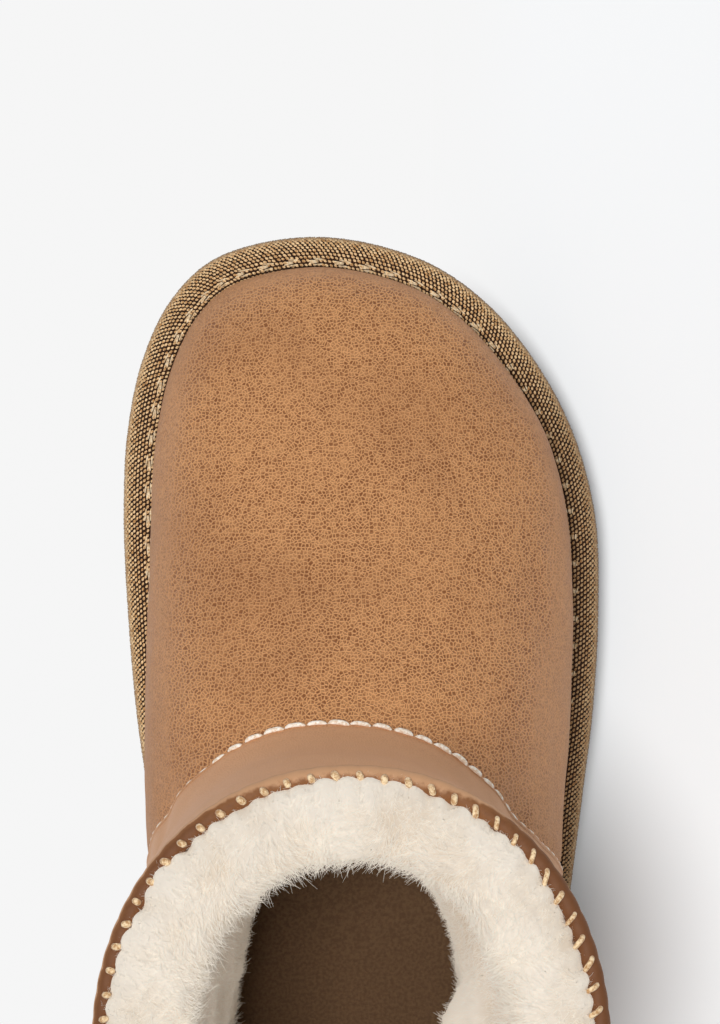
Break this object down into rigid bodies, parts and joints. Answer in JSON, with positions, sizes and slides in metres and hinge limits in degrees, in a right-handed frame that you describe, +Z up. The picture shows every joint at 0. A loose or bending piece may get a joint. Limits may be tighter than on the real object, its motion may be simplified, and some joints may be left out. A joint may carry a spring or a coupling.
{
  "type": "sheepskin boot",
  "caption": "Child's right pull-on ankle boot: tan leather upper, deep cream fleece lining, midsole wrapped in woven tape, lugged rubber outsole.",
  "frame": {"origin": "on the floor under the middle of the heel's second lug", "axes": "+Y to the toe, +X to the outer side of the right foot, +Z up"},
  "size_m": [0.0781, 0.1679, 0.1253],
  "materials": {
    "outsole_rubber": "matt dark brown moulded rubber",
    "woven_tape": "coarse plain weave in khaki and dark olive",
    "grained_leather": "pebbled tan leather with darker dimples, low sheen",
    "smooth_leather": "fine-grained tan leather, low sheen",
    "dark_leather": "brown raw leather edge",
    "fleece": "deep curly cream pile",
    "felt": "flat dark brown felt"
  },
  "bodies": {
    "root": {"outsole": "outsole_rubber", "midsole": "woven_tape", "upper_vamp": "grained_leather", "upper_shaft": "smooth_leather", "collar_binding": "dark_leather", "fleece_lining": "fleece", "insole": "felt"}
  },
  "joints": []
}
